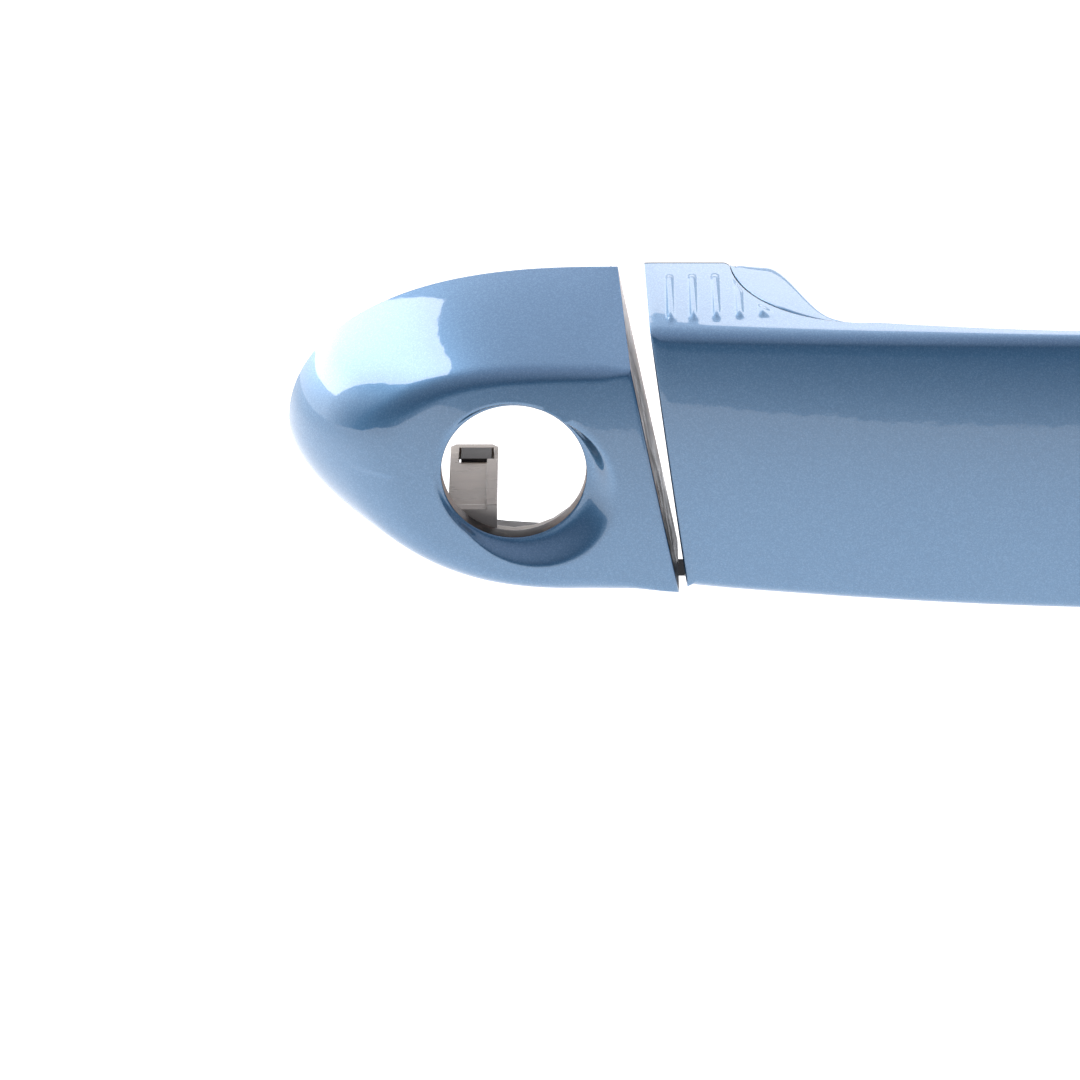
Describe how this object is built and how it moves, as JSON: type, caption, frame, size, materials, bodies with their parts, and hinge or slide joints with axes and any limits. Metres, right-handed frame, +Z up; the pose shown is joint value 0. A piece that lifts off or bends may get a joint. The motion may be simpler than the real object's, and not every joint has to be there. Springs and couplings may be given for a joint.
{
  "type": "car door handle",
  "caption": "Pull-type outer door handle with a painted hinged grip, a lock cover cap with a round hole, and an inner carrier with a sprung bell crank.",
  "frame": {"origin": "on the flat front face of the carrier's centre pad, which lies against the inner side of the door skin, at the middle of the grip's length", "axes": "-Y out of the door, towards the hand; +X along the handle towards the grip's pivot end, the front of the car; +Z up"},
  "size_m": [0.2457, 0.0626, 0.0587],
  "materials": {
    "paint_blue": "metallic blue paint under clear coat",
    "plastic_black": "fine texture",
    "plastic_grey": "glass-filled moulding, slightly glossy",
    "rubber_black": "matt",
    "steel_zinc": "zinc plated",
    "zinc_cast": "die cast",
    "copper_wire": "copper",
    "ferrite": "sintered",
    "board_green": "lacquered board"
  },
  "bodies": {
    "door_carrier": {"carrier": "plastic_black", "cap_shell": "paint_blue", "cap_bracket": "plastic_grey", "cap_gasket": "rubber_black", "connector_socket": "plastic_black", "mount_screw_rear": "steel_zinc", "mount_screw_front": "steel_zinc", "pivot_pin": "steel_zinc", "crank_axle": "steel_zinc", "return_spring": "steel_zinc"},
    "grip": {"grip_outer_shell": "paint_blue", "grip_inner_shell": "paint_blue", "grip_core": "plastic_black", "tail_arm": "zinc_cast", "hinge_arm": "zinc_cast", "tail_screw": "steel_zinc", "hinge_screw_rear": "steel_zinc", "hinge_screw_front": "steel_zinc", "sensor_board": "board_green", "antenna_core": "ferrite", "antenna_coil": "copper_wire", "lock_electrode": "copper_wire", "unlock_electrode": "copper_wire", "rear_gasket": "rubber_black", "front_gasket": "rubber_black", "rear_buffer": "rubber_black", "front_buffer": "rubber_black"},
    "crank": {"bell_crank": "plastic_grey", "crank_roller": "steel_zinc", "counterweight": "zinc_cast"}
  },
  "joints": [
    {"name": "grip_pull", "type": "hinge", "parent": "door_carrier", "child": "grip", "pos_m": [0.117, 0.009, 0], "axis": [0, 0, 1], "range_deg": [0, 6.5]},
    {"name": "crank_turn", "type": "hinge", "parent": "door_carrier", "child": "crank", "pos_m": [-0.05, 0.01835, -0.02767], "axis": [1, 0, 0], "range_deg": [0, 54], "stiffness_Nm_per_rad": 0.02, "springref_deg": -51.57, "deforming": ["return_spring"]}
  ],
  "couplings": [
    {"joint": "crank_turn", "follows": "grip_pull", "ratio": 8.3}
  ]
}
